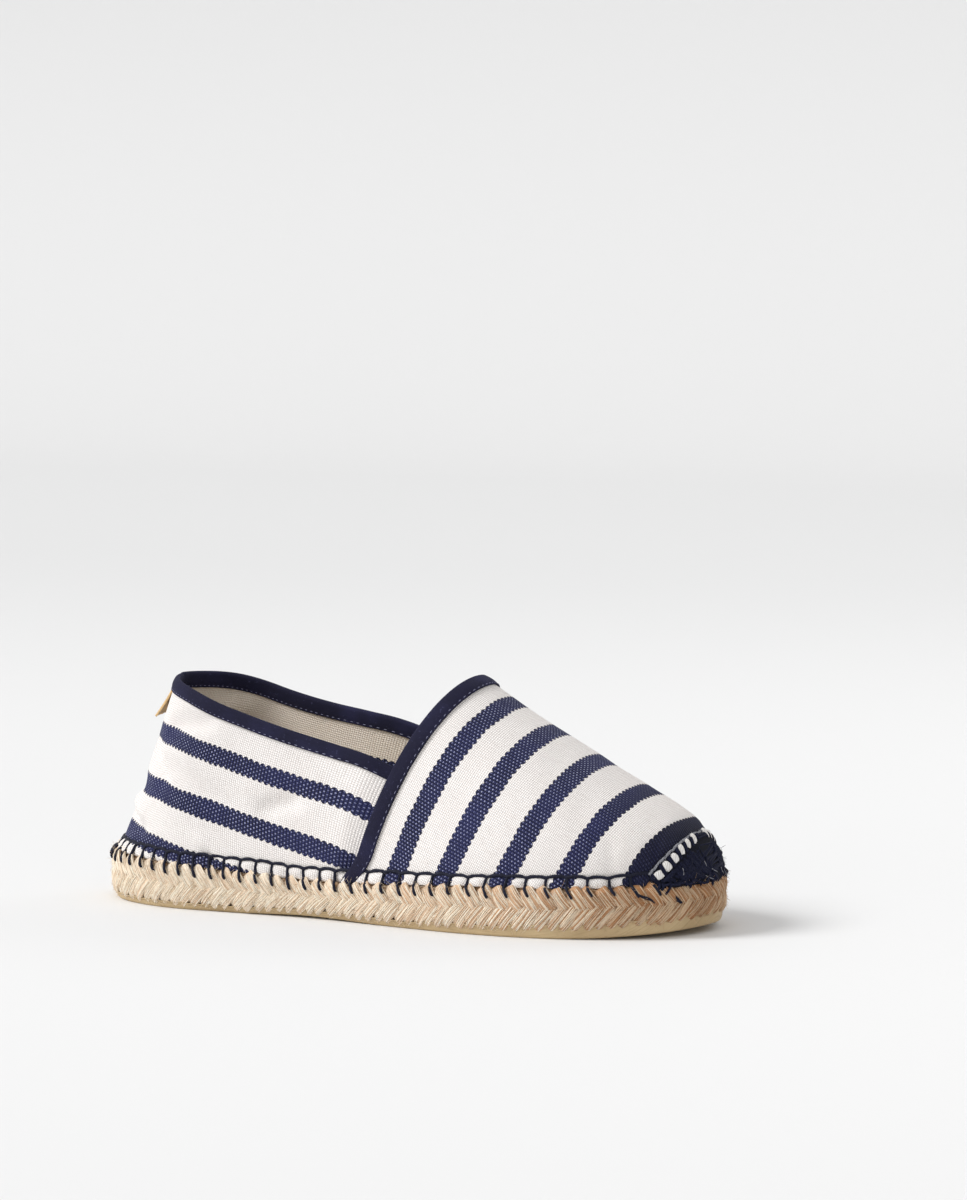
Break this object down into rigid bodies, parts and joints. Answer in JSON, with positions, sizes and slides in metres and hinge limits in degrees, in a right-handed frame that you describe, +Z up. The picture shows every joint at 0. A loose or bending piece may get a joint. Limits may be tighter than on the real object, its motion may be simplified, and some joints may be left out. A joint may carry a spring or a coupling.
{
  "type": "espadrille, right shoe",
  "caption": "Slip-on canvas espadrille for the right foot, with a striped hollow upper sewn to a plaited jute sole on a thin rubber tread.",
  "frame": {"origin": "on the ground under the middle of the shoe's box", "axes": "+X towards the toe, +Y towards the inner side of the foot, +Z up"},
  "size_m": [0.2536, 0.0908, 0.0921],
  "materials": {
    "tread_rubber": "smooth moulded gum rubber",
    "jute": "plaited jute strand, sewn sideways",
    "footbed_cloth": "plain cotton cloth on the footbed",
    "canvas": "coarse cream cotton canvas with navy stripes",
    "binding_tape": "folded navy cotton tape",
    "tab_cloth": "plain tan woven tab, left bare"
  },
  "bodies": {
    "root": {"outsole": "tread_rubber", "jute_sole": "jute", "insole": "footbed_cloth", "upper": "canvas", "collar_binding": "binding_tape", "vamp_binding": "binding_tape", "heel_tab": "tab_cloth"}
  },
  "joints": []
}
